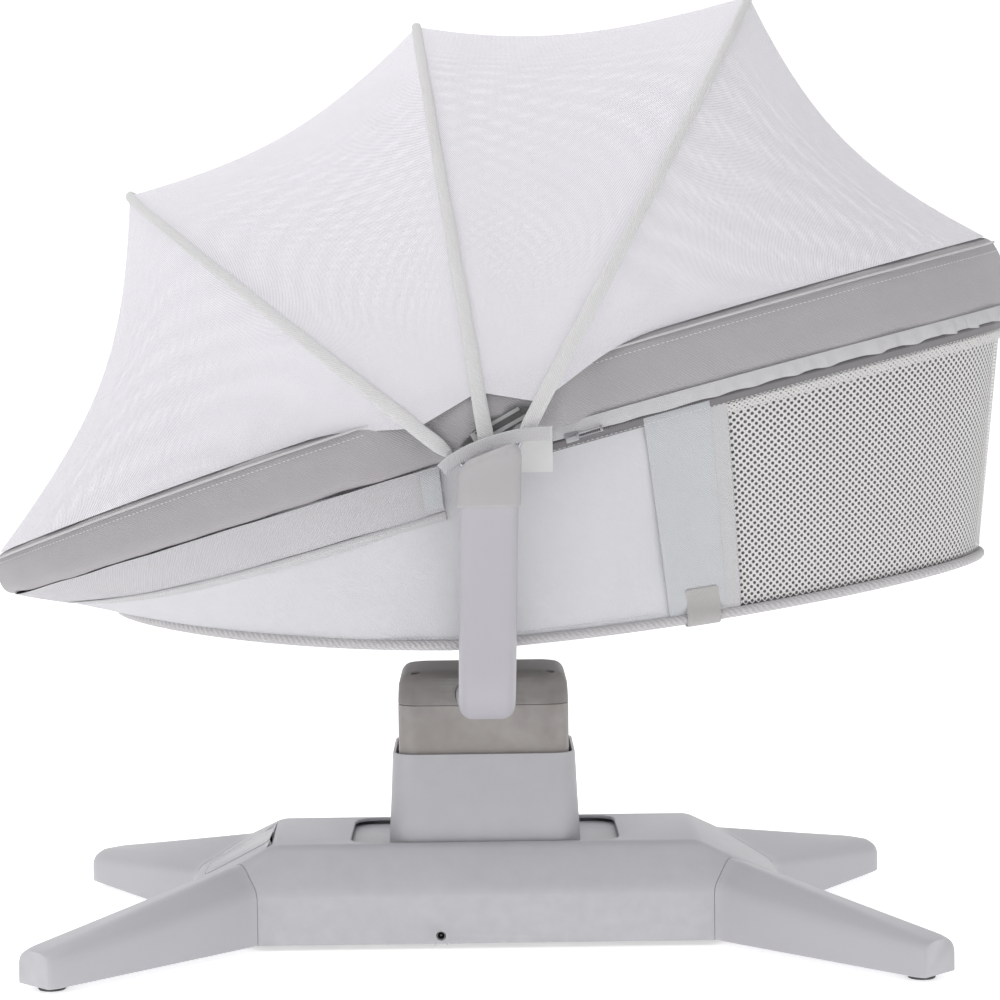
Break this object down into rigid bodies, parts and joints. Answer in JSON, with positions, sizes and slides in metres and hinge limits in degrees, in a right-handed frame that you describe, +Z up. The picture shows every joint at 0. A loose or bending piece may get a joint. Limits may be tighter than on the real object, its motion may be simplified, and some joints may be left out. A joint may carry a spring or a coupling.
{
  "type": "baby swing",
  "caption": "Electric baby swing: four-legged base, sliding drive tower, yoke, and a reclining padded bassinet with mesh sides under a folding net canopy.",
  "frame": {"origin": "centre of the overall outline in plan, at floor level", "axes": "+X along the bassinet to its head end, +Y to the side away from the power socket, +Z up"},
  "size_m": [0.9444, 0.6106, 0.8661],
  "materials": {
    "base_plastic": "fine moulded texture, cool light grey",
    "tower_plastic": "fine moulded texture, light grey",
    "warm_plastic": "fine moulded texture, warm grey",
    "arm_plastic": "satin, cool light grey",
    "panel_plastic": "satin touch panel, dark grey",
    "white_plastic": "satin off-white",
    "dark_plastic": "moulded dark grey",
    "pad_rubber": "soft dark rubber",
    "steel": "zinc-plated steel",
    "light_alloy": "drawn tube and rod",
    "zinc": "cast metal",
    "circuit_board": "circuit board",
    "bronze": "sintered bush",
    "rim_twill": "light grey twill over foam",
    "side_twill": "pale grey twill",
    "mesh_cloth": "off-white perforated mesh cloth",
    "webbing": "woven webbing, light grey",
    "net_cloth": "sheer white net",
    "mattress_cloth": "soft quilted cloth"
  },
  "bodies": {
    "base": {"base_shell": "base_plastic", "bottom_cover": "dark_plastic", "leg_foot_near": "base_plastic", "leg_foot_far": "base_plastic", "leg_head_near": "base_plastic", "leg_head_far": "base_plastic", "foot_pad_foot_near": "pad_rubber", "foot_pad_foot_far": "pad_rubber", "foot_pad_head_near": "pad_rubber", "foot_pad_head_far": "pad_rubber", "control_panel": "panel_plastic", "control_board": "circuit_board", "dc_jack": "dark_plastic", "guide_rod_near": "steel", "guide_rod_far": "steel", "rod_bracket_foot": "dark_plastic", "rod_bracket_head": "dark_plastic", "motor_bracket": "steel", "gear_motor": "zinc"},
    "carriage": {"carriage_block": "dark_plastic", "bush_foot_near": "bronze", "bush_foot_far": "bronze", "bush_head_near": "bronze", "bush_head_far": "bronze", "rack": "white_plastic", "dust_cover": "tower_plastic", "tower_lower_housing": "tower_plastic", "tower_upper_housing": "warm_plastic", "tower_cap": "warm_plastic", "cap_screw_1": "steel", "cap_screw_2": "steel", "cap_screw_3": "steel", "cap_screw_4": "steel", "yoke": "arm_plastic", "hinge_head_near": "arm_plastic", "hinge_head_far": "arm_plastic", "hub_pin_near": "steel", "hub_pin_far": "steel"},
    "pinion": {"pinion": "steel"},
    "bassinet": {"rim_frame": "light_alloy", "rim_pad": "rim_twill", "basket_shell": "side_twill", "mesh_window": "mesh_cloth", "base_board": "white_plastic", "mattress": "mattress_cloth", "strap_near": "webbing", "strap_far": "webbing", "hub_bracket_near": "white_plastic", "hub_bracket_far": "white_plastic", "net_foot": "net_cloth"},
    "zipper": {"zipper_slider": "zinc"},
    "bow_1": {"bow_1": "light_alloy", "net_middle_foot": "net_cloth"},
    "bow_2": {"bow_2": "light_alloy", "net_middle_head": "net_cloth"},
    "bow_3": {"bow_3": "light_alloy", "net_head": "net_cloth"}
  },
  "joints": [
    {"name": "swing", "type": "slide", "parent": "base", "child": "carriage", "axis": [1, 0, 0], "range_m": [-0.025, 0.025]},
    {"name": "pinion_spin", "type": "hinge", "parent": "base", "child": "pinion", "pos_m": [-0.01964, 0, 0.0315], "axis": [0, 1, 0], "range_deg": [-137, 137]},
    {"name": "recline", "type": "hinge", "parent": "carriage", "child": "bassinet", "pos_m": [-0.00764, 0, 0.424], "axis": [0, 1, 0], "range_deg": [-10, 18]},
    {"name": "bow_1_fold", "type": "hinge", "parent": "bassinet", "child": "bow_1", "pos_m": [-0.00764, 0, 0.424], "axis": [0, -1, 0], "range_deg": [0, 35], "deforming": ["net_foot"]},
    {"name": "bow_2_fold", "type": "hinge", "parent": "bow_1", "child": "bow_2", "pos_m": [-0.00764, 0, 0.424], "axis": [0, -1, 0], "range_deg": [0, 36], "deforming": ["net_middle_foot"]},
    {"name": "bow_3_fold", "type": "hinge", "parent": "bow_2", "child": "bow_3", "pos_m": [-0.00764, 0, 0.424], "axis": [0, -1, 0], "range_deg": [0, 31.5], "deforming": ["net_middle_head", "net_head"]},
    {"name": "zipper_run", "type": "slide", "parent": "bassinet", "child": "zipper", "axis": [0.9603, 0, 0.279], "range_m": [0, 0.03]}
  ],
  "couplings": [
    {"joint": "pinion_spin", "follows": "swing", "rad_per_m": 95.238}
  ]
}
